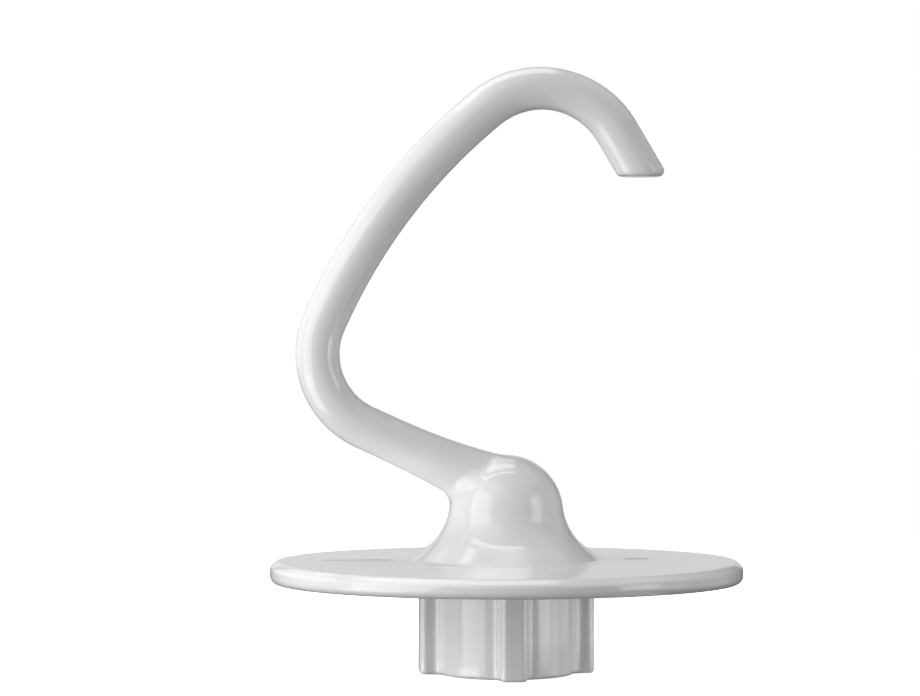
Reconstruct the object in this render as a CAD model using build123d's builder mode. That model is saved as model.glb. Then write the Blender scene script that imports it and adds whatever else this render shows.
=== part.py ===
from build123d import *
import os
from math import cos, radians, sin, tan

# Dough hook for a stand mixer: one coated casting, standing on its coupling collar.
# Millimetres. The origin is the centre of the collar's open end and +Z runs along the
# drive shaft towards the hook. The hook bends in the XZ plane, with its tip on the +X side.

# Coupling that slips over the mixer's shaft and locks on its cross pin
shaft_d = 12.7
shaft_clearance = 0.1
bore_depth = 35.0
bore_lead_in = 0.8
bore_end_angle = 59.0
pin_d = 4.76
pin_clearance = 0.22
pin_reach = 10.9
pin_end_clearance = 0.3
pin_height = 14.0
lock_angle = 38.0
seat_drop = 1.2

# Collar with its ribs
collar_r = 15.75
collar_length = 20.6
rib_count = 4
rib_height = 4.1
rib_width = 6.2
rib_crown_round = 1.6
rib_root_round = 2.0
rib_end_lead = 1.0

# Splash disc
disc_r = 53.55
disc_thickness = 5.1
rim_top_round = 2.4
rim_under_chamfer = 1.2

# Hub on the disc: a round dome that flares out into the disc
dome_r = 12.86
hub_height = 23.7
hub_lean = 5.8
flare_bend_r = 13.0
flare_angle = 51.0

# Arm: a round rod that leaves the hub, turns back at the elbow and closes at the crest
rod_r = 5.1
root_r = 7.1
root_above_dome_centre = 4.5
arm_rise = 24.65
arm_run = 35.4
elbow_r = 18.2
elbow_angle = 89.2
bow_r = 132.4
bow_angle = 26.5
crest_r = 20.0
crest_angle = 99.0
tip_run = 11.8
tip_chamfer = 0.75
arm_blend_r = 2.4

# Mould seam left on the disc, on the hook's own plane
seam_width = 0.9
seam_height = 0.25
back_seam_start = 25.0
back_seam_length = 18.0
tip_seam_start = 26.5
tip_seam_length = 6.5

# Levels and radii that follow from the sizes above
disc_top = collar_length + disc_thickness
dome_z = disc_top + hub_height - dome_r
rib_r = collar_r + rib_height
bore_r = shaft_d / 2 + shaft_clearance
slot_width = pin_d + 2 * pin_clearance
slot_r = pin_reach + pin_end_clearance
slot_top = pin_height + slot_width / 2

# The arm's straight run, from the hub's axis up to the elbow
root_point = Vector(0, 0, dome_z + root_above_dome_centre)
arm_direction = Vector(-cos(radians(arm_rise)), 0, sin(radians(arm_rise)))
elbow_point = root_point + arm_direction * arm_run
arm_plane = Plane(root_point, x_dir=arm_direction, z_dir=(0, -1, 0))

# Centre line of the bent rod, which runs on past the tip's level cut
tip_slope = arm_rise + elbow_angle + bow_angle + crest_angle - 180
tip_overrun = 2 * rod_r / tan(radians(tip_slope))
tip_cut = 2 * tip_overrun + 4 * rod_r
with BuildLine(Plane.XZ) as rod_line:
    elbow = JernArc(elbow_point, arm_direction, elbow_r, -elbow_angle)
    bow = JernArc(elbow @ 1, elbow % 1, bow_r, -bow_angle)
    crest = JernArc(bow @ 1, bow % 1, crest_r, -crest_angle)
    tip_point = crest @ 1 + (crest % 1) * tip_run
    Line(crest @ 1, tip_point + (crest % 1) * tip_overrun)

with BuildPart() as dough_hook:
    # Disc and hub, turned from one profile
    with BuildSketch(Plane.XZ):
        with BuildLine():
            dome = CenterArc((0, dome_z), dome_r, 90, hub_lean - 90)
            bend = JernArc(dome @ 1, dome % 1, flare_bend_r, flare_angle - hub_lean)
            flare_drop = (bend @ 1).Y - disc_top
            flare = PolarLine(bend @ 1, flare_drop / cos(radians(flare_angle)), flare_angle - 90)
            disc_side = ((disc_r, disc_top), (disc_r, collar_length), (0, collar_length))
            Polyline(flare @ 1, *disc_side, dome @ 0)
        make_face()
        fillet(vertices().sort_by_distance((disc_r, disc_top))[0], rim_top_round)
        chamfer(vertices().sort_by_distance((disc_r, collar_length))[0], rim_under_chamfer)
    revolve(axis=Axis.Z)

    # Straight run of the arm, turned about its own line and swelling towards the hub
    with BuildSketch(arm_plane):
        with BuildLine():
            TangentArc((arm_run, rod_r), (0, root_r), tangent=(-1, 0))
            Polyline((0, root_r), (0, 0), (arm_run, 0), (arm_run, rod_r))
        make_face()
    revolve(axis=Axis(root_point, arm_direction))
    fillet(dough_hook.edges(Select.NEW), arm_blend_r)

    # Bent rod, from the elbow over the crest to the tip
    with BuildSketch(Plane(elbow_point, z_dir=arm_direction)):
        Circle(rod_r)
    sweep(path=rod_line.wire())

    # Level cut at the tip, with its edge broken
    with Locations(tip_point):
        Box(tip_cut, tip_cut, tip_cut, align=(Align.CENTER, Align.CENTER, Align.MAX), mode=Mode.SUBTRACT)
    chamfer(dough_hook.edges(Select.NEW), tip_chamfer)

    # Ribbed collar below the disc, with a turned lead at the ribs' ends
    with BuildSketch():
        Circle(collar_r)
        with PolarLocations(0, rib_count):
            Rectangle(rib_r, rib_width, align=(Align.MIN, Align.CENTER))
        fillet(vertices().filter_by(lambda corner: corner.center().length > rib_r), rib_crown_round)
        roots = vertices().filter_by(lambda corner: corner.center().length < collar_r + rib_root_round / 2)
        fillet(roots, rib_root_round)
    extrude(amount=collar_length)
    with BuildSketch(Plane.XZ):
        with BuildLine():
            lead_start = (rib_r - rib_end_lead, 0)
            lead_end = (rib_r + rib_end_lead, 2 * rib_end_lead)
            Polyline(lead_start, (rib_r + rib_end_lead, 0), lead_end, close=True)
        make_face()
    revolve(axis=Axis.Z, mode=Mode.SUBTRACT)

    # Blind bore for the shaft, with a lead-in at its mouth and a tapered end
    with BuildSketch(Plane.XZ):
        with BuildLine():
            bore_end = bore_depth + bore_r / tan(radians(bore_end_angle))
            mouth = ((0, 0), (bore_r + bore_lead_in, 0), (bore_r, bore_lead_in))
            Polyline(*mouth, (bore_r, bore_depth), (0, bore_end), close=True)
        make_face()
    revolve(axis=Axis.Z, mode=Mode.SUBTRACT)

    # Pin slot: a way in from the mouth, a turn at the pin's height and a seat that drops back
    with BuildSketch():
        Rectangle(slot_r, slot_width, align=(Align.MIN, Align.CENTER))
    extrude(amount=slot_top, mode=Mode.SUBTRACT)
    with BuildSketch(Plane.XZ):
        with Locations((0, slot_top)):
            Rectangle(slot_r, slot_width, align=(Align.MIN, Align.MAX))
    revolve(axis=Axis.Z, revolution_arc=lock_angle, mode=Mode.SUBTRACT)
    with BuildSketch(Plane.YZ.rotated((0, 0, lock_angle))):
        with Locations((0, slot_top)):
            Rectangle(slot_width, slot_width + seat_drop, align=(Align.CENTER, Align.MAX))
    extrude(amount=slot_r, mode=Mode.SUBTRACT)

    # Low mould seams on the disc
    with BuildSketch(Plane.XY.offset(disc_top)):
        with Locations((-back_seam_start - back_seam_length / 2, 0)):
            Rectangle(back_seam_length, seam_width)
        with Locations((tip_seam_start + tip_seam_length / 2, 0)):
            Rectangle(tip_seam_length, seam_width)
    extrude(amount=seam_height)

dough_hook.part.label = "dough_hook"

os.makedirs("parts", exist_ok=True)
export_step(dough_hook.part, "parts/dough_hook.step")
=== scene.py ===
from itertools import chain
from math import atan2, cos, pi, radians, sin, tan

import bmesh
import bpy
import numpy as np
from bpy.props import FloatProperty, FloatVectorProperty, PointerProperty
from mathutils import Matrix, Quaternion, Vector


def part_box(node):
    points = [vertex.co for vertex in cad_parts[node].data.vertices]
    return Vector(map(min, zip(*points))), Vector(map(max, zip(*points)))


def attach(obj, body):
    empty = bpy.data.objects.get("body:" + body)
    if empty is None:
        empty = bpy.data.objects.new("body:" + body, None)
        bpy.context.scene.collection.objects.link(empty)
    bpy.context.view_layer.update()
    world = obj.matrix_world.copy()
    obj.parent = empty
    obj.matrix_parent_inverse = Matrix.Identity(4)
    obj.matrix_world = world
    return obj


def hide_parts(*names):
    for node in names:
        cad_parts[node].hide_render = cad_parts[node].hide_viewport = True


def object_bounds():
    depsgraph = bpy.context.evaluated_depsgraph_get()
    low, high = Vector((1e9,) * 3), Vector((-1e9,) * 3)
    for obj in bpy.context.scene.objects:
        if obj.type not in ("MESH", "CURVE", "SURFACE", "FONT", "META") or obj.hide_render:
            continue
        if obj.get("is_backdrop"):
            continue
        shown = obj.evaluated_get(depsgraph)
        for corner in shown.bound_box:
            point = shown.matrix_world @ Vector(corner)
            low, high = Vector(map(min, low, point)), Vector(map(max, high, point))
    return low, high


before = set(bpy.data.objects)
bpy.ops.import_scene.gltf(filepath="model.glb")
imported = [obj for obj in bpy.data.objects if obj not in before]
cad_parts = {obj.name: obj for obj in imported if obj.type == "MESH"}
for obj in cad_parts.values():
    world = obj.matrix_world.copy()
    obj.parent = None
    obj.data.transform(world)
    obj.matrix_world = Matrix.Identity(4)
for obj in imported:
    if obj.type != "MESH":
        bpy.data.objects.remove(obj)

bl_info = {
    "name": "Dough Hook",
    "version": (1, 0, 0),
    "blender": (4, 5, 0),
    "location": "View3D > Sidebar > Dough Hook",
    "description": "Builds a coated mixer dough hook and its photo stage",
    "category": "Add Mesh",
}

# The frame gives the casting's overall size. The shorter half width keeps the disc inside its box.
CAD_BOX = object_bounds()
CAD_LOW, CAD_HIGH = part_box("dough_hook")
DISC_RADIUS = min(CAD_HIGH.x - CAD_LOW.x, CAD_HIGH.y - CAD_LOW.y) / 2

MM = 0.001

# Size of the image in pixels, and how far the camera sees, in distances to the hook
IMAGE_WIDTH = 920
IMAGE_HEIGHT = 696
CLIP_SPAN = 10

# Points along the collar's outline in each quarter turn. All other rings have half as many points.
RIB_FLAT_STEPS = 4
RIB_CORNER_STEPS = 8
COLLAR_ARC_STEPS = 16
COLLAR_RING = 4 * (4 * RIB_FLAT_STEPS + 4 * RIB_CORNER_STEPS + COLLAR_ARC_STEPS)
RING = COLLAR_RING // 2
COLLAR_TURN = np.linspace(0, 2 * pi, COLLAR_RING, endpoint=False)
RING_TURN = np.linspace(0, 2 * pi, RING, endpoint=False)

# Rings along each stretch of the casting
ARM_STEPS = 12
ELBOW_STEPS = 40
BOW_STEPS = 28
CREST_STEPS = 44
TIP_STEPS = 6
TIP_ROUND_STEPS = 12
BLEND_STEPS = 56
FLARE_STEPS = 14
FOOT_STEPS = 16
FACE_STEPS = 16
RIM_EDGE_STEPS = 8
RIM_BEVEL_STEPS = 8
RIM_NOSE_STEPS = 10
RIM_UNDER_STEPS = 12
UNDERSIDE_STEPS = 8
COLLAR_ROOT_STEPS = 5
COLLAR_WALL_STEPS = 8
COLLAR_END_STEPS = 8

# Rings on flat faces: on the tip as shares of the way to its middle, under the disc as a share of
# the ribs' reach, and on the collar's end as shares of the slot's reach and of the bore's radius
TIP_FACE_RINGS = (0.35, 0.7)
UNDERSIDE_START = 1.2
BEYOND_SLOT = 1.12
WITHIN_BORE = 0.6

# The fillet round the arm's root shrinks from here upwards, in rod radii above the arm's line
SHRINK_START = -0.3
SHRINK_SPAN = 1.1

# Its skin is found by halving rays that start a share of the root's rise below the dome's centre
RAY_START_DROP = 1 / 3
HALVINGS = 40

# Mould seams: points along and round them, bluntness of their ends and section, and least fullness
SEAM_STEPS = 24
SEAM_RING = 24
SEAM_END_POWER = 6
SEAM_SECTION_POWER = 0.4
SEAM_LEAST = 0.05

SLOT_TURN_STEPS = 12
SHARP_ANGLE = radians(32)

# Noise that shapes the coat, and the ranges of noise and pointiness where it lies thinner
PEEL_DETAIL = 1.5
WAVE_DETAIL = 2.0
WAVE_ROUGHNESS = 0.45
PATCH_DETAIL = 3.0
PATCH_RANGE = (0.42, 0.72)
EDGE_RANGE = (0.52, 0.62)
COAT_IOR = 1.52

FLOOR_ROUGHNESS = 0.9
WHITE = (1, 1, 1, 1)


def size(name, description, millimetres):
    """A length that shows in the scene's units."""
    return FloatProperty(
        name=name, description=description, default=millimetres * MM, unit="LENGTH", precision=5
    )


def angle(name, description, degrees):
    """An angle that shows in degrees."""
    return FloatProperty(
        name=name, description=description, default=radians(degrees), subtype="ANGLE"
    )


def number(name, description, default):
    """A plain number."""
    return FloatProperty(name=name, description=description, default=default, precision=4)


def colour(name, description, default):
    """A linear colour."""
    return FloatVectorProperty(
        name=name, description=description, default=default, size=3, subtype="COLOR", min=0, max=1
    )


class CouplingSizes(bpy.types.PropertyGroup):
    """Collar below the disc, with the bore and slot that take the shaft and its cross pin."""

    collar_radius: size("Collar radius", "Radius of the collar between its ribs", 15.75)
    collar_length: size("Collar length", "Height of the collar below the disc", 20.6)
    collar_root: size("Collar root", "Fillet where the collar meets the disc", 0.8)
    rib_height: size("Rib height", "How far the ribs stand out from the collar", 4.1)
    rib_width: size("Rib width", "Width of a rib", 6.2)
    rib_crown: size("Rib crown", "Rounding of a rib's outer corners", 1.6)
    rib_root: size("Rib root", "Fillet between a rib and the collar", 2.0)
    end_round: size("End round", "Rounding of the collar's lower edge", 0.9)
    bore_radius: size("Bore radius", "Radius of the bore for the drive shaft", 6.45)
    bore_depth: size("Bore depth", "Depth of the bore's straight wall", 35.0)
    bore_lead: size("Bore lead", "Bevel at the bore's mouth", 0.8)
    bore_end: angle("Bore end", "Angle between the bore's axis and its tapered end", 59.0)
    slot_width: size("Slot width", "Width of the way for the cross pin", 5.2)
    slot_radius: size("Slot radius", "Reach of the slot from the shaft axis", 11.2)
    slot_top: size("Slot top", "Height of the slot above the mouth", 16.6)
    seat_drop: size("Seat drop", "How far the pin drops back into its seat", 1.2)
    lock_angle: angle("Lock angle", "Turn from the slot to the pin's seat", 38.0)


class DiscSizes(bpy.types.PropertyGroup):
    """Splash disc and the hub that stands on it."""

    radius: size("Disc radius", "Radius of the splash disc", DISC_RADIUS / MM)
    thickness: size("Disc thickness", "Thickness of the disc in the parting plane", 5.1)
    rim_edge: size("Rim edge", "Rounding between the disc's face and the rim's bevel", 1.4)
    rim_bevel: size("Rim bevel", "Radius of the rim's slightly crowned bevel", 7.0)
    rim_nose: size("Rim nose", "Rounding between the bevel and the rim's wall", 1.2)
    bevel_start: angle("Bevel start", "Fall of the bevel at its upper edge", 33.0)
    bevel_end: angle("Bevel end", "Fall of the bevel at its lower edge", 44.0)
    rim_under: size("Rim underside", "Rounding of the rim's lower edge", 1.7)
    draft: size("Draft", "How far the disc's faces fall away from the parting plane", 0.5)
    draft_ease: size("Draft ease", "Softness of the draft along the parting plane", 4.0)
    dome_radius: size("Dome radius", "Radius of the round dome of the hub", 12.86)
    hub_height: size("Hub height", "Height of the dome's top above the disc", 23.7)
    hub_lean: angle("Hub lean", "Slope of the hub where its dome ends", 5.8)
    flare_bend: size("Flare bend", "Hollow curve from the hub into the flare", 13.0)
    flare_angle: angle("Flare angle", "Slope of the flare, from upright", 51.0)
    flare_foot: size("Flare foot", "Fillet between the flare and the disc", 2.0)
    seam_width: size("Seam width", "Width of the mould seams on the disc", 0.9)
    seam_height: size("Seam height", "Height of the mould seams", 0.25)
    back_seam_start: size("Back seam start", "Start of the seam below the elbow", 25.0)
    back_seam_length: size("Back seam length", "Length of the seam below the elbow", 18.0)
    tip_seam_start: size("Tip seam start", "Start of the seam on the tip's side", 26.5)
    tip_seam_length: size("Tip seam length", "Length of the seam on the tip's side", 6.5)


class ArmSizes(bpy.types.PropertyGroup):
    """Round arm that leaves the hub, turns back at the elbow and closes at the crest."""

    rod_radius: size("Rod radius", "Radius of the bent rod", 4.97)
    crest_slimming: size("Crest slimming", "How much the rod's radius shrinks at the crest", 0.16)
    root_radius: size("Root radius", "Radius of the arm at the shaft axis", 7.56)
    swell_run: size("Swell run", "Distance from the shaft axis to the start of the swell", 30.0)
    root_lift: size("Root lift", "How far the swollen root sits above the arm's line", 0.58)
    lift_run: size("Lift run", "Distance from the shaft axis to the start of the lift", 22.0)
    root_rise: size("Root rise", "Height of the arm's root above the dome's centre", 4.5)
    blend_top: size("Blend above", "Fillet between the hub and the arm's upper side", 0.6)
    blend_under: size("Blend below", "Fillet between the hub and the arm's underside", 2.6)
    rise: angle("Rise", "Slope of the straight run", 24.65)
    run: size("Run", "Length of the straight run from the shaft axis", 35.4)
    skin_start: size("Skin start", "Where the plain rod takes over from the blend", 17.0)
    neck_height: size("Neck height", "Height where the plain hub takes over from the blend", 33.4)
    elbow_radius: size("Elbow radius", "Bend radius of the elbow", 18.2)
    elbow_angle: angle("Elbow angle", "Turn of the elbow", 89.2)
    bow_radius: size("Bow radius", "Bend radius of the long bow", 132.4)
    bow_angle: angle("Bow angle", "Turn of the long bow", 26.5)
    crest_radius: size("Crest radius", "Bend radius of the crest", 20.0)
    crest_angle: angle("Crest angle", "Turn of the crest", 99.0)
    tip_run: size("Tip run", "Straight length from the crest to the tip's level cut", 11.8)
    tip_round: size("Tip round", "Rounding of the tip's edge", 1.35)


class CoatLook(bpy.types.PropertyGroup):
    """White gloss coat."""

    base: colour("Coat", "Colour of the coat", (0.80, 0.805, 0.80))
    shade: colour("Thin coat", "Colour where the coat lies thinner", (0.77, 0.778, 0.775))
    gloss: number("Gloss roughness", "Roughness of the smooth coat", 0.1)
    dull: number("Dull roughness", "Roughness where the coat lies thinner", 0.13)
    peel: size("Peel", "Depth of the coat's fine waves", 0.002)
    peel_width: size("Peel width", "Width of the coat's fine waves", 1.7)
    wave: size("Wave", "Depth of the casting's slow waves", 0.008)
    wave_width: size("Wave width", "Width of the casting's slow waves", 9.0)
    patch_width: size("Patch width", "Width of the thinner patches", 16.667)
    edge: number("Edge", "How much thinner the coat lies on sharp edges", 0.5)


def softbox_group(
    name, words, azimuth, elevation, width, height, level, roll=0, distance=800, aim=69
):
    """Property group for one softbox, placed by how the hook sees it."""
    fields = {
        "azimuth": angle("Azimuth", "Direction, clockwise from straight behind the hook", azimuth),
        "elevation": angle("Elevation", "Direction above the height that it faces", elevation),
        "width": angle("Width", "Angle that the softbox spans from side to side", width),
        "height": angle("Height", "Angle that the softbox spans from edge to edge", height),
        "level": number("Level", "Brightness of the softbox's cloth", level),
        "roll": angle("Roll", "Turn of the softbox about the line to the hook", roll),
        "distance": size("Distance", "Distance from the shaft axis to the softbox", distance),
        "aim": size("Aim", "Height on the shaft axis that the softbox faces", aim),
    }
    return type(name, (bpy.types.PropertyGroup,), {"__doc__": words, "__annotations__": fields})


SOFTBOXES = {
    "key_core": softbox_group(
        "KeyCore", "Bright middle of the key light.",
        azimuth=241, elevation=10, width=44, height=52, level=2.55,
    ),
    "key_scrim": softbox_group(
        "KeyScrim", "Wide scrim in front of the key light.",
        azimuth=247, elevation=10, width=80, height=72, level=0.3,
    ),
    "low_key": softbox_group(
        "LowKey", "Low light on the left, for the undersides.",
        azimuth=251, elevation=-25, width=40, height=25, level=3,
    ),
    "high_key": softbox_group(
        "HighKey", "Soft light above the key.",
        azimuth=236, elevation=50, width=60, height=26, level=0.95,
    ),
    "strip": softbox_group(
        "Strip", "Upright strip on the right.",
        azimuth=119.5, elevation=8, width=22, height=38, level=2.6,
    ),
    "side": softbox_group(
        "Side", "Soft light from the far right.",
        azimuth=80, elevation=3, width=54, height=56, level=0.4,
    ),
    "low_side": softbox_group(
        "LowSide", "Low light on the right.",
        azimuth=112, elevation=-10, width=40, height=24, level=1.2,
    ),
    "high_side": softbox_group(
        "HighSide", "Soft light above the right.",
        azimuth=95, elevation=50, width=60, height=30, level=0.45,
    ),
    "top_front": softbox_group(
        "TopFront", "Front half of the pair overhead.",
        azimuth=284, elevation=79, width=48, height=12.5, level=3.4, roll=-76,
    ),
    "top_back": softbox_group(
        "TopBack", "Rear half of the pair overhead.",
        azimuth=332, elevation=68, width=45, height=16.5, level=3.0, roll=-28,
    ),
    "top_rear": softbox_group(
        "TopRear", "Fading rear edge of the pair overhead.",
        azimuth=345, elevation=50, width=40, height=20, level=1.0, roll=-15,
    ),
    "back_card": softbox_group(
        "BackCard", "Pale card behind the hook.",
        azimuth=4, elevation=10, width=40, height=26, level=0.6,
    ),
    "left_card": softbox_group(
        "LeftCard", "Pale card behind the hook, on the left.",
        azimuth=308, elevation=17, width=56, height=46, level=0.65,
    ),
    "collar_card": softbox_group(
        "CollarCard", "Small card under the disc.",
        azimuth=114, elevation=0, width=74, height=15, level=0.9, distance=46, aim=9,
    ),
    "fill": softbox_group(
        "Fill", "Weak fill beside the camera.",
        azimuth=205, elevation=20, width=34, height=50, level=0.2,
    ),
}


class StageLook(bpy.types.PropertyGroup):
    """Floor, light and camera."""

    floor_radius: size("Floor radius", "Radius of the round floor", 500.0)
    floor: colour("Floor", "Colour of the pale floor", (0.90, 0.90, 0.90))
    floor_glow: number("Floor glow", "Share of the floor's white that needs no lamp", 0.88)
    ambient: number("Ambient", "Brightness of the room", 0.04)
    turn: angle("Turn", "How far the camera stands round the hook", 4.4)
    distance: size("Distance", "Distance from the shaft axis to the camera", 630.0)
    height: size("Height", "Height of the level camera", 71.5)
    focal: number("Focal", "Focal length in pixels of the image", 2775.0)
    horizon: number("Horizon", "Image row of the horizon", 357.7)
    axis_column: number("Axis column", "Image column of the shaft axis", 506.3)


for box_name, box_group in SOFTBOXES.items():
    StageLook.__annotations__[box_name] = PointerProperty(type=box_group)


class DoughHook(bpy.types.PropertyGroup):
    """Everything that a user may change."""

    coupling: PointerProperty(type=CouplingSizes)
    disc: PointerProperty(type=DiscSizes)
    arm: PointerProperty(type=ArmSizes)
    coat: PointerProperty(type=CoatLook)
    stage: PointerProperty(type=StageLook)


def shares(steps):
    """Even shares of a stretch, from just after its start to its end."""
    return np.linspace(0, 1, steps + 1)[1:]


def ease(part):
    """Smooth step from 0 to 1."""
    return part * part * (3 - 2 * part)


def swing(first, last, sweep, part):
    """A spoke turned part of the way from first to last, which are an angle of sweep apart."""
    return (first * np.sin((1 - part) * sweep) + last * np.sin(part * sweep)) / np.sin(sweep)


def level_ring(radius, height, turn=RING_TURN):
    """Points of a level circle about the shaft axis, starting on the elbow's side."""
    return np.column_stack(
        (-radius * np.cos(turn), radius * np.sin(turn), np.full(len(turn), height))
    )


def along(heading):
    """Direction of a heading in the hook's plane."""
    return np.array((cos(heading), 0, sin(heading)))


def rod_ring(centre, heading, radius):
    """Points of a circle square to the rod, starting on the outside of the hook."""
    outside, side = along(heading + pi / 2), np.array((0, 1, 0))
    circle = np.outer(np.cos(RING_TURN), outside) + np.outer(np.sin(RING_TURN), side)
    return centre + radius * circle


def bend_stations(start, heading, radius, turn, steps):
    """Centres and headings along a bend of the rod, without its start."""
    pivot = start + radius * along(heading - pi / 2)
    for part in turn * shares(steps):
        yield pivot - radius * along(heading - part - pi / 2), heading - part


def rounded_corner(before, corner, after, radius, steps):
    """Points of a fillet at a corner of a profile, from one tangent point to the other."""
    before, corner, after = (np.array(p, float) for p in (before, corner, after))
    into = (before - corner) / np.linalg.norm(before - corner)
    out = (after - corner) / np.linalg.norm(after - corner)
    half = np.arccos(np.clip(into @ out, -1, 1)) / 2
    middle = (into + out) / np.linalg.norm(into + out)
    centre = corner + middle * radius / sin(half)
    first = corner + into * radius / tan(half) - centre
    last = corner + out * radius / tan(half) - centre
    for part in np.linspace(0, 1, steps + 1):
        yield centre + swing(first, last, pi - 2 * half, part)


def falling_arcs(start, arcs):
    """Points of a profile that runs outwards and falls more steeply with each arc."""
    place, fall = np.array(start, float), 0
    for radius, last_fall, steps in arcs:
        arc_start = place
        for turn in np.linspace(fall, last_fall, steps + 1)[1:]:
            step = np.array((sin(turn) - sin(fall), cos(turn) - cos(fall)))
            place = arc_start + radius * step
            yield place
        fall = last_fall


class HubShape:
    """Hub and arm, with the distances to them for the skin that joins the two."""

    def __init__(self, sizes):
        disc, arm = sizes.disc, sizes.arm
        self.disc, self.arm = disc, arm
        self.disc_top = sizes.coupling.collar_length + disc.thickness
        self.dome_height = self.disc_top + disc.hub_height - disc.dome_radius
        reach = disc.dome_radius + disc.flare_bend
        self.bend_radius = reach * cos(disc.hub_lean)
        self.bend_height = self.dome_height + reach * sin(disc.hub_lean)
        self.neck_turn = pi + np.arcsin((self.bend_height - arm.neck_height) / disc.flare_bend)
        self.flare_turn = pi + disc.flare_angle
        self.root = np.array((0, 0, self.dome_height + arm.root_rise))
        self.heading = pi - arm.rise
        self.upper_side = along(self.heading - pi / 2)

    def bend_point(self, turn):
        """Radius and height of a point on the hollow bend."""
        bend = self.disc.flare_bend
        return self.bend_radius + bend * cos(turn), self.bend_height + bend * sin(turn)

    def arm_radius(self, way):
        """Radius of the arm's straight run, at a way along it from the shaft axis."""
        arm = self.arm
        left = np.clip(1 - way / arm.swell_run, 0, 1)
        return arm.rod_radius + (arm.root_radius - arm.rod_radius) * left**2

    def arm_lift(self, way):
        """How far the arm's centre lies above its straight line."""
        return self.arm.root_lift * np.clip(1 - way / self.arm.lift_run, 0, 1) ** 2

    def arm_point(self, way):
        """Centre of the arm's straight run."""
        return self.root + way * along(self.heading) + self.arm_lift(way) * self.upper_side

    def hub_distance(self, points):
        """Distance to the dome, or to the hollow bend below it."""
        radius = np.hypot(points[:, 0], points[:, 1])
        height = points[:, 2] - self.dome_height
        lean = self.disc.hub_lean
        dome = np.hypot(radius, height) - self.disc.dome_radius
        bend = self.disc.flare_bend - np.hypot(
            radius - self.bend_radius, points[:, 2] - self.bend_height
        )
        return np.where(height * cos(lean) > radius * sin(lean), dome, bend)

    def arm_distance(self, points):
        """Distance to the arm, which ends round inside the hub."""
        offset = points - self.root
        way = np.maximum(offset @ along(self.heading), 0)
        axis = np.outer(way, along(self.heading)) + np.outer(self.arm_lift(way), self.upper_side)
        return np.linalg.norm(offset - axis, axis=1) - self.arm_radius(way)

    def joined_distance(self, points):
        """Distance to the hub and arm with a round fillet between them."""
        height = (points - self.root) @ self.upper_side / self.arm.rod_radius
        above = ease(np.clip((height - SHRINK_START) / SHRINK_SPAN, 0, 1))
        fillet = self.arm.blend_under + (self.arm.blend_top - self.arm.blend_under) * above
        hub, arm = self.hub_distance(points), self.arm_distance(points)
        plain = np.maximum(np.minimum(hub, arm), fillet)
        return plain - np.hypot(np.maximum(fillet - hub, 0), np.maximum(fillet - arm, 0))


def blend_rings(shape, first, last):
    """Rings that run from the arm round the dome to the neck, on the filleted surface."""
    drop = shape.arm.root_rise * RAY_START_DROP
    centre = np.array((0, 0, shape.dome_height - drop))
    start, end = first - centre, last - centre
    start /= np.linalg.norm(start, axis=1)[:, None]
    end /= np.linalg.norm(end, axis=1)[:, None]
    spread = np.arccos(np.clip(np.sum(start * end, axis=1), -1, 1))[:, None]
    for part in shares(BLEND_STEPS)[:-1]:
        way = swing(start, end, spread, part)
        near = np.zeros((len(way), 1))
        far = np.full((len(way), 1), shape.arm.run)
        for _ in range(HALVINGS):
            middle = (near + far) / 2
            inside = (shape.joined_distance(centre + way * middle) < 0)[:, None]
            near = np.where(inside, middle, near)
            far = np.where(inside, far, middle)
        yield centre + way * near


def tip_rings(base, middle, heading, radius):
    """Rings from the crest's end to the tip's level cut, with its edge rounded over."""
    way = along(heading)
    corner = base + np.outer((middle[2] - base[:, 2]) / way[2], way)
    inward = middle - corner
    inward /= np.linalg.norm(inward, axis=1)[:, None]
    half = np.arccos(inward @ -way)[:, None] / 2
    bisector = inward - way
    bisector /= np.linalg.norm(bisector, axis=1)[:, None]
    centre = corner + bisector * radius / np.sin(half)
    wall_end = corner - way * radius / np.tan(half)
    face_start = corner + inward * radius / np.tan(half)
    for part in shares(TIP_STEPS):
        yield base + (wall_end - base) * part
    for part in shares(TIP_ROUND_STEPS):
        yield centre + swing(wall_end - centre, face_start - centre, pi - 2 * half, part)
    for part in TIP_FACE_RINGS:
        yield face_start + (middle - face_start) * part


def arm_rings(shape):
    """Rings of the arm from the hub's blend to the tip, and the middle of the tip's cut."""
    arm = shape.arm
    rings = []
    for way in np.linspace(arm.skin_start, arm.run, ARM_STEPS + 1):
        rings.append(rod_ring(shape.arm_point(way), shape.heading, shape.arm_radius(way)))
    centre, heading = shape.arm_point(arm.run), shape.heading
    for radius, turn, steps, slimming in (
        (arm.elbow_radius, arm.elbow_angle, ELBOW_STEPS, 0),
        (arm.bow_radius, arm.bow_angle, BOW_STEPS, 0),
        (arm.crest_radius, arm.crest_angle, CREST_STEPS, arm.crest_slimming),
    ):
        stations = bend_stations(centre, heading, radius, turn, steps)
        for step, (centre, heading) in enumerate(stations, 1):
            slim = slimming * sin(pi * step / steps) ** 2
            rings.append(rod_ring(centre, heading, arm.rod_radius - slim))
    tip = centre + arm.tip_run * along(heading)
    rings += list(tip_rings(rings[-1], tip, heading, arm.tip_round))
    return rings, tip


def drafted(ring, inner, disc, towards):
    """A ring of the disc's face, moved by the draft that grows away from the parting plane."""
    reach = np.hypot(ring[:, 0], ring[:, 1])
    away = np.sqrt(ring[:, 1] ** 2 + disc.draft_ease**2) - disc.draft_ease
    outside = ease(np.clip((reach - inner) / (2 * disc.draft_ease), 0, 1))
    ring[:, 2] += towards * disc.draft * outside * away / (disc.radius - disc.draft_ease)
    return ring


def flare_rings(shape):
    """Rings from the neck down the hollow bend to the flare's straight slope."""
    for turn in np.linspace(shape.neck_turn, shape.flare_turn, FLARE_STEPS + 1)[1:]:
        yield level_ring(*shape.bend_point(turn))


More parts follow.
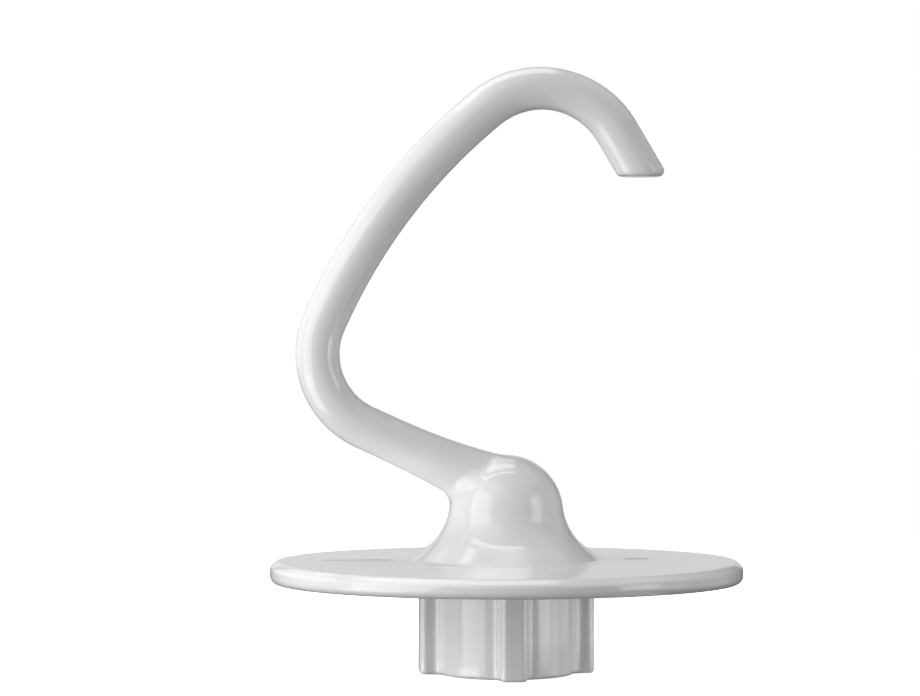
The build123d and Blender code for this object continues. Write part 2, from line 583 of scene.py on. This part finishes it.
def face_rings(shape):
    """Rings from the flare's foot over the disc's upper face and down the rim's bevel."""
    disc, top = shape.disc, shape.disc_top
    bend_end = shape.bend_point(shape.flare_turn)
    foot = (bend_end[0] + (bend_end[1] - top) * tan(disc.flare_angle), top)
    points = list(rounded_corner(bend_end, foot, (disc.radius, top), disc.flare_foot, FOOT_STEPS))
    face_start = points[-1]
    arcs = (
        (disc.rim_edge, disc.bevel_start, RIM_EDGE_STEPS),
        (disc.rim_bevel, disc.bevel_end, RIM_BEVEL_STEPS),
        (disc.rim_nose, pi / 2, RIM_NOSE_STEPS),
    )
    rim_reach = list(falling_arcs((0, 0), arcs))[-1][0]
    face_end = np.array((disc.radius - rim_reach, top))
    points += [face_start + (face_end - face_start) * part for part in shares(FACE_STEPS)]
    points += falling_arcs(face_end, arcs)
    for radius, height in points:
        yield drafted(level_ring(radius, height), face_start[0], disc, -1)


def underside_rings(shape, coupling):
    """Rings from the rim's wall round its lower edge and in under the disc."""
    disc, level = shape.disc, coupling.collar_length
    rim, wall, axis = (disc.radius, shape.disc_top), (disc.radius, level), (0, level)
    points = list(rounded_corner(rim, wall, axis, disc.rim_under, RIM_UNDER_STEPS))
    inner = (coupling.collar_radius + coupling.rib_height) * UNDERSIDE_START
    start = points[-1]
    end = np.array((inner, start[1]))
    points += [start + (end - start) * part for part in shares(UNDERSIDE_STEPS)]
    for radius, height in points:
        yield drafted(level_ring(radius, height), inner, disc, 1)


def collar_outline(coupling):
    """Points and outward normals of the ribbed collar, in the order of the level rings."""
    rib_radius = coupling.collar_radius + coupling.rib_height
    half = coupling.rib_width / 2
    crown, root = coupling.rib_crown, coupling.rib_root
    root_y = half + root
    root_x = np.sqrt((coupling.collar_radius + root) ** 2 - root_y**2)
    root_turn = atan2(root_y, root_x)
    points, normals = [], []

    def arc(centre, radius, start, end, steps, facing=1):
        """Adds a round stretch. A hollow one faces its own centre."""
        for turn in np.linspace(start, end, steps, endpoint=False):
            outward = np.array((cos(turn), sin(turn)))
            points.append(np.array(centre) + radius * outward)
            normals.append(outward * facing)

    def flat(start, end, outward):
        """Adds a straight stretch."""
        start, end = np.array(start), np.array(end)
        for part in np.linspace(0, 1, RIB_FLAT_STEPS, endpoint=False):
            points.append(start + (end - start) * part)
            normals.append(np.array(outward, float))

    # One quarter, from the middle of a rib's crown to the middle of the next
    crown_x, crown_y = rib_radius - crown, half - crown
    flat((rib_radius, 0), (rib_radius, crown_y), (1, 0))
    arc((crown_x, crown_y), crown, 0, pi / 2, RIB_CORNER_STEPS)
    flat((crown_x, half), (root_x, half), (0, 1))
    arc((root_x, root_y), root, 1.5 * pi, pi + root_turn, RIB_CORNER_STEPS, facing=-1)
    arc((0, 0), coupling.collar_radius, root_turn, pi / 2 - root_turn, COLLAR_ARC_STEPS)
    arc((root_y, root_x), root, 1.5 * pi - root_turn, pi, RIB_CORNER_STEPS, facing=-1)
    flat((half, root_x), (half, crown_x), (1, 0))
    arc((crown_y, crown_x), crown, 0, pi / 2, RIB_CORNER_STEPS)
    flat((crown_y, rib_radius), (0, rib_radius), (0, 1))
    outline = []
    for quarter in (np.array(points), np.array(normals)):
        turned = []
        for turn in (0, pi / 2, pi, 1.5 * pi):
            turned.append(quarter @ np.array(((cos(turn), sin(turn)), (-sin(turn), cos(turn)))))
        # Level rings start at -X and pass +Y, so the outline is mirrored in X
        outline.append(np.vstack(turned) * (-1, 1))
    return outline


def collar_rings(coupling):
    """Rings from the disc's underside down the ribbed collar to its open end."""
    points, normals = collar_outline(coupling)

    def ring(offset, height):
        """The outline at a height, moved outwards."""
        return np.column_stack((points + normals * offset, np.full(len(points), height)))

    top, root, end = coupling.collar_length, coupling.collar_root, coupling.end_round
    for turn in np.linspace(0, pi / 2, COLLAR_ROOT_STEPS + 1):
        yield ring(root * (1 - sin(turn)), top - root * (1 - cos(turn)))
    for height in np.linspace(top - root, end, COLLAR_WALL_STEPS + 1)[1:]:
        yield ring(0, height)
    for turn in np.linspace(0, pi / 2, COLLAR_END_STEPS + 1)[1:]:
        yield ring(-end * (1 - cos(turn)), end * (1 - sin(turn)))
    for radius in (coupling.slot_radius * BEYOND_SLOT, coupling.bore_radius * WITHIN_BORE):
        yield level_ring(radius, 0, COLLAR_TURN)


class Skin:
    """A closed mesh of rings, from one end's middle to the other's."""

    def __init__(self, middle):
        self.points, self.faces = [tuple(middle)], []
        self.last = None

    def add(self, ring):
        """Joins a ring to the one before, which has as many points or half as many."""
        first = len(self.points)
        self.points += [tuple(p) for p in ring]
        new = list(range(first, first + len(ring)))
        if self.last is None:
            self.fan(0, new)
        elif len(new) == len(self.last):
            for k, a in enumerate(self.last):
                self.faces.append((a, self.last[k - 1], new[k - 1], new[k]))
        else:
            for k, a in enumerate(self.last):
                before = self.last[k - 1]
                self.faces.append((a, before, new[2 * k - 1]))
                self.faces.append((before, new[2 * k - 2], new[2 * k - 1]))
                self.faces.append((a, new[2 * k - 1], new[2 * k]))
        self.last = new

    def fan(self, middle, ring):
        """Fills a ring with triangles about a point."""
        for k, a in enumerate(ring):
            self.faces.append((middle, ring[k - 1], a))

    def close(self, middle):
        """Fills the last ring."""
        self.points.append(tuple(middle))
        self.fan(len(self.points) - 1, self.last)


def mesh_object(name, points, faces):
    """A new object with its faces turned outwards."""
    mesh = bpy.data.meshes.new(name)
    mesh.from_pydata(points, [], faces)
    shell = bmesh.new()
    shell.from_mesh(mesh)
    bmesh.ops.recalc_face_normals(shell, faces=shell.faces)
    shell.to_mesh(mesh)
    shell.free()
    made = bpy.data.objects.new(name, mesh)
    bpy.context.scene.collection.objects.link(made)
    return made


def casting_skin(sizes):
    """Outer surface of the casting, from the tip of the hook to the collar's end face."""
    shape, coupling = HubShape(sizes), sizes.coupling
    arm, tip = arm_rings(shape)
    neck = level_ring(*shape.bend_point(shape.neck_turn))
    skin = Skin(tip)
    for ring in chain(
        reversed(arm),
        blend_rings(shape, arm[0], neck),
        [neck],
        flare_rings(shape),
        face_rings(shape),
        underside_rings(shape, coupling),
        collar_rings(coupling),
    ):
        skin.add(ring)
    skin.close((0, 0, 0))
    return mesh_object("casting", skin.points, skin.faces)


def bore_cutter(coupling):
    """Solid of the blind bore, with the bevel at its mouth and its tapered end."""
    radius, lead, depth = coupling.bore_radius, coupling.bore_lead, coupling.bore_depth
    skin = Skin((0, 0, -lead))
    for wide, height in ((radius + 2 * lead, -lead), (radius, lead), (radius, depth)):
        skin.add(level_ring(wide, height))
    skin.close((0, 0, depth + radius / tan(coupling.bore_end)))
    return mesh_object("bore_cutter", skin.points, skin.faces)


def prism(name, outline, low, high):
    """An upright solid on a flat outline."""
    n = len(outline)
    points = [(x, y, low) for x, y in outline] + [(x, y, high) for x, y in outline]
    faces = [tuple(range(n)), tuple(range(n, 2 * n))]
    faces += [(k, (k + 1) % n, n + (k + 1) % n, n + k) for k in range(n)]
    return mesh_object(name, points, faces)


def slot_cutters(coupling):
    """Solids of the pin's way in, its turn and its seat."""
    half, reach, top = coupling.slot_width / 2, coupling.slot_radius, coupling.slot_top
    lock, floor = coupling.lock_angle, coupling.slot_top - coupling.slot_width
    way_in = ((0, -half), (reach, -half), (reach, half), (0, half))
    yield prism("slot_way", way_in, -half, top)
    turns = np.linspace(0, lock, SLOT_TURN_STEPS + 1)
    sector = [(0, 0)] + [(reach * cos(turn), reach * sin(turn)) for turn in turns]
    yield prism("slot_turn", sector, floor, top)
    seat = [(x * cos(lock) - y * sin(lock), x * sin(lock) + y * cos(lock)) for x, y in way_in]
    yield prism("slot_seat", seat, floor - coupling.seat_drop, top)


def seam_ridge(name, start, length, disc, disc_top):
    """A low rounded ridge on the disc, sunk a little so that it joins the casting."""
    sunk = disc.seam_height / 2
    turn = np.linspace(0, 2 * pi, SEAM_RING, endpoint=False)
    across = np.sign(np.cos(turn)) * np.abs(np.cos(turn)) ** SEAM_SECTION_POWER
    up = np.sign(np.sin(turn)) * np.abs(np.sin(turn)) ** SEAM_SECTION_POWER
    skin = Skin((start, 0, disc_top - sunk))
    for part in np.linspace(-1, 1, SEAM_STEPS + 1):
        full = max(np.sqrt(1 - part**SEAM_END_POWER), SEAM_LEAST)
        x = np.full(SEAM_RING, start + length * (part + 1) / 2)
        y = disc.seam_width / 2 * across * full
        z = (disc.seam_height + sunk) * up * full - sunk + disc_top
        skin.add(np.column_stack((x, y, z)))
    skin.close((start + length, 0, disc_top - sunk))
    return mesh_object(name, skin.points, skin.faces)


def combine(target, other, operation):
    """Adds another solid to the target or cuts it away, and removes the other."""
    step = target.modifiers.new(other.name, "BOOLEAN")
    step.operation = operation
    step.solver = "EXACT"
    step.object = other
    evaluated = target.evaluated_get(bpy.context.evaluated_depsgraph_get())
    made = bpy.data.meshes.new_from_object(evaluated)
    target.modifiers.clear()
    target.data = made
    bpy.data.objects.remove(other)


def coat_group(name, inputs, output):
    """A node group with its named numbers, and its input, output and place nodes."""
    group = bpy.data.node_groups.new(name, "ShaderNodeTree")
    for label in inputs:
        group.interface.new_socket(name=label, in_out="INPUT", socket_type="NodeSocketFloat")
    group.interface.new_socket(name=output, in_out="OUTPUT", socket_type="NodeSocketFloat")
    given = group.nodes.new("NodeGroupInput").outputs
    out = group.nodes.new("NodeGroupOutput").inputs[output]
    place = group.nodes.new("ShaderNodeTexCoord").outputs["Object"]
    return group, given, out, place


def noise(group, place, scale, detail):
    """A noise node with its scale taken from a socket."""
    node = group.nodes.new("ShaderNodeTexNoise")
    node.inputs["Detail"].default_value = detail
    group.links.new(place, node.inputs["Vector"])
    group.links.new(scale, node.inputs["Scale"])
    return node


def calculated(group, operation, first, second):
    """Result of an operation on two sockets."""
    node = group.nodes.new("ShaderNodeMath")
    node.operation = operation
    group.links.new(first, node.inputs[0])
    group.links.new(second, node.inputs[1])
    return node.outputs[0]


def ranged(group, value, limits, interpolation):
    """Mask that grows from 0 to 1 while a value passes from one limit to the other."""
    node = group.nodes.new("ShaderNodeMapRange")
    node.interpolation_type = interpolation
    node.inputs["From Min"].default_value, node.inputs["From Max"].default_value = limits
    group.links.new(value, node.inputs["Value"])
    return node.outputs["Result"]


def coat_waves_group():
    """Height of a sprayed coat: fine peel on top of the slow waves of the casting below."""
    inputs = ("Peel scale", "Peel depth", "Wave scale", "Wave depth")
    group, given, out, place = coat_group("Coat waves", inputs, "Height")
    heights = []
    for kind, detail in (("Peel", PEEL_DETAIL), ("Wave", WAVE_DETAIL)):
        bumps = noise(group, place, given[f"{kind} scale"], detail)
        bumps.inputs["Roughness"].default_value = WAVE_ROUGHNESS
        depth = given[f"{kind} depth"]
        heights.append(calculated(group, "MULTIPLY", bumps.outputs["Fac"], depth))
    group.links.new(calculated(group, "ADD", *heights), out)
    return group


def coat_cover_group():
    """How thin the coat lies: soft patches, and less on sharp edges."""
    group, given, out, place = coat_group("Coat cover", ("Patch scale", "Edge"), "Thin")
    patches = noise(group, place, given["Patch scale"], PATCH_DETAIL)
    soft = ranged(group, patches.outputs["Fac"], PATCH_RANGE, "SMOOTHSTEP")
    form = group.nodes.new("ShaderNodeNewGeometry")
    sharp = ranged(group, form.outputs["Pointiness"], EDGE_RANGE, "LINEAR")
    edges = calculated(group, "MULTIPLY", sharp, given["Edge"])
    group.links.new(calculated(group, "MAXIMUM", soft, edges), out)
    return group


def white_coat(look):
    """Gloss white coat with fine peel, slow waves and soft patches of duller, thinner coat."""
    material = bpy.data.materials.new("white_coat")
    material.use_nodes = True
    nodes, links = material.node_tree.nodes, material.node_tree.links
    shader = nodes["Principled BSDF"]
    shader.inputs["IOR"].default_value = COAT_IOR

    waves = nodes.new("ShaderNodeGroup")
    waves.node_tree = coat_waves_group()
    waves.inputs["Peel scale"].default_value = 1 / look.peel_width
    waves.inputs["Peel depth"].default_value = look.peel
    waves.inputs["Wave scale"].default_value = 1 / look.wave_width
    waves.inputs["Wave depth"].default_value = look.wave
    bump = nodes.new("ShaderNodeBump")
    bump.inputs["Strength"].default_value = 1.0
    bump.inputs["Distance"].default_value = 1.0
    links.new(waves.outputs["Height"], bump.inputs["Height"])
    links.new(bump.outputs["Normal"], shader.inputs["Normal"])

    cover = nodes.new("ShaderNodeGroup")
    cover.node_tree = coat_cover_group()
    cover.inputs["Patch scale"].default_value = 1 / look.patch_width
    cover.inputs["Edge"].default_value = look.edge
    tint = nodes.new("ShaderNodeMix")
    tint.data_type = "RGBA"
    tint.inputs["A"].default_value = (*look.base, 1)
    tint.inputs["B"].default_value = (*look.shade, 1)
    links.new(cover.outputs["Thin"], tint.inputs["Factor"])
    links.new(tint.outputs["Result"], shader.inputs["Base Color"])
    dullness = nodes.new("ShaderNodeMapRange")
    dullness.inputs["To Min"].default_value = look.gloss
    dullness.inputs["To Max"].default_value = look.dull
    links.new(cover.outputs["Thin"], dullness.inputs["Value"])
    links.new(dullness.outputs["Result"], shader.inputs["Roughness"])
    return material


class DOUGHHOOK_OT_casting(bpy.types.Operator):
    """Build the coated casting: arm, hub, splash disc and ribbed collar in one"""

    bl_idname = "dough_hook.casting"
    bl_label = "Build casting"

    def execute(self, context):
        sizes = context.scene.dough_hook
        disc = sizes.disc
        disc_top = sizes.coupling.collar_length + disc.thickness
        casting = casting_skin(sizes)
        back_end = -disc.back_seam_start - disc.back_seam_length
        for name, start, length in (
            ("back_seam", back_end, disc.back_seam_length),
            ("tip_seam", disc.tip_seam_start, disc.tip_seam_length),
        ):
            combine(casting, seam_ridge(name, start, length, disc, disc_top), "UNION")
        combine(casting, bore_cutter(sizes.coupling), "DIFFERENCE")
        for cutter in slot_cutters(sizes.coupling):
            combine(casting, cutter, "DIFFERENCE")
        casting.data.shade_smooth()
        casting.data.set_sharp_from_angle(angle=SHARP_ANGLE)
        casting.data.materials.clear()
        casting.data.materials.append(white_coat(sizes.coat))
        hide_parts("dough_hook")
        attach(casting, "root")
        return {"FINISHED"}


def softbox(name, box):
    """A rectangular softbox that faces the shaft axis and can't be seen by the camera."""
    light = bpy.data.lights.new(name, "AREA")
    light.shape = "RECTANGLE"
    light.size = 2 * box.distance * tan(box.width / 2)
    light.size_y = 2 * box.distance * tan(box.height / 2)
    light.energy = box.level * pi * light.size * light.size_y
    lamp = bpy.data.objects.new(name, light)
    bpy.context.scene.collection.objects.link(lamp)
    level = Vector((sin(box.azimuth), cos(box.azimuth), 0))
    outward = level * cos(box.elevation) + Vector((0, 0, sin(box.elevation)))
    lamp.location = Vector((0, 0, box.aim)) + outward * box.distance
    facing = (-outward).to_track_quat("-Z", "Y") @ Quaternion((0, 0, 1), box.roll)
    lamp.rotation_euler = facing.to_euler()
    lamp.visible_camera = False
    return lamp


def pale_floor(look):
    """Pale floor that can't be seen from below."""
    material = bpy.data.materials.new("pale_floor")
    material.use_nodes = True
    nodes, links = material.node_tree.nodes, material.node_tree.links
    pale = nodes["Principled BSDF"]
    pale.inputs["Base Color"].default_value = (*look.floor, 1)
    pale.inputs["Roughness"].default_value = FLOOR_ROUGHNESS
    pale.inputs["Emission Color"].default_value = WHITE
    pale.inputs["Emission Strength"].default_value = look.floor_glow
    clear = nodes.new("ShaderNodeBsdfTransparent")
    side = nodes.new("ShaderNodeNewGeometry")
    either = nodes.new("ShaderNodeMixShader")
    links.new(side.outputs["Backfacing"], either.inputs["Fac"])
    links.new(pale.outputs["BSDF"], either.inputs[1])
    links.new(clear.outputs["BSDF"], either.inputs[2])
    links.new(either.outputs["Shader"], nodes["Material Output"].inputs["Surface"])
    return material


def studio_world(look):
    """White background for the camera and a dim room for everything else."""
    world = bpy.data.worlds.new("studio")
    world.use_nodes = True
    nodes, links = world.node_tree.nodes, world.node_tree.links
    room = nodes["Background"]
    room.inputs["Color"].default_value = WHITE
    room.inputs["Strength"].default_value = look.ambient
    white = nodes.new("ShaderNodeBackground")
    white.inputs["Color"].default_value = WHITE
    ray = nodes.new("ShaderNodeLightPath")
    either = nodes.new("ShaderNodeMixShader")
    links.new(ray.outputs["Is Camera Ray"], either.inputs["Fac"])
    links.new(room.outputs["Background"], either.inputs[1])
    links.new(white.outputs["Background"], either.inputs[2])
    links.new(either.outputs["Shader"], nodes["World Output"].inputs["Surface"])
    return world


def photo_camera(look):
    """Level camera at the photo's angle, with the lens shifted to the photo's horizon."""
    lens = bpy.data.cameras.new("photo_camera")
    lens.sensor_fit = "HORIZONTAL"
    lens.lens = look.focal / IMAGE_WIDTH * lens.sensor_width
    lens.shift_y = (look.horizon - IMAGE_HEIGHT / 2) / IMAGE_WIDTH
    lens.clip_start, lens.clip_end = look.distance / CLIP_SPAN, look.distance * CLIP_SPAN
    camera = bpy.data.objects.new("photo_camera", lens)
    bpy.context.scene.collection.objects.link(camera)
    aside = (look.axis_column - IMAGE_WIDTH / 2) / look.focal * look.distance
    forward = Vector((sin(look.turn), cos(look.turn), 0))
    right = Vector((cos(look.turn), -sin(look.turn), 0))
    camera.location = -forward * look.distance - right * aside + Vector((0, 0, look.height))
    camera.rotation_euler = (pi / 2, 0, -look.turn)
    return camera


class DOUGHHOOK_OT_stage(bpy.types.Operator):
    """Set the pale floor, the studio light and the camera"""

    bl_idname = "dough_hook.stage"
    bl_label = "Set stage"

    def execute(self, context):
        look = context.scene.dough_hook.stage
        edge = [tuple(p) for p in level_ring(look.floor_radius, 0)[::-1]]
        floor = mesh_object("floor", edge, [tuple(range(len(edge)))])
        floor.data.materials.append(pale_floor(look))
        floor.visible_diffuse = floor.visible_glossy = floor.visible_shadow = False
        floor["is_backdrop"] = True
        for name in SOFTBOXES:
            softbox(name, getattr(look, name))
        context.scene.world = studio_world(look)
        context.scene.camera = photo_camera(look)
        context.scene.view_settings.view_transform = "Standard"
        return {"FINISHED"}


class DOUGHHOOK_PT_panel(bpy.types.Panel):
    """Sidebar panel with the build steps."""

    bl_idname = "DOUGHHOOK_PT_panel"
    bl_label = "Dough Hook"
    bl_space_type = "VIEW_3D"
    bl_region_type = "UI"
    bl_category = "Dough Hook"

    def draw(self, context):
        column = self.layout.column()
        column.operator(DOUGHHOOK_OT_casting.bl_idname)
        column.operator(DOUGHHOOK_OT_stage.bl_idname)


CLASSES = (
    CouplingSizes,
    DiscSizes,
    ArmSizes,
    CoatLook,
    *SOFTBOXES.values(),
    StageLook,
    DoughHook,
    DOUGHHOOK_OT_casting,
    DOUGHHOOK_OT_stage,
    DOUGHHOOK_PT_panel,
)


def register():
    for made in CLASSES:
        bpy.utils.register_class(made)
    bpy.types.Scene.dough_hook = PointerProperty(type=DoughHook)


def unregister():
    del bpy.types.Scene.dough_hook
    for made in reversed(CLASSES):
        bpy.utils.unregister_class(made)


def main():
    register()
    bpy.ops.dough_hook.casting()
    bpy.ops.dough_hook.stage()
    boxes = {"cad": CAD_BOX, "visual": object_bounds()}
    {name: [list(corner) for corner in box] for name, box in boxes.items()}


if __name__ == "__main__":
    main()
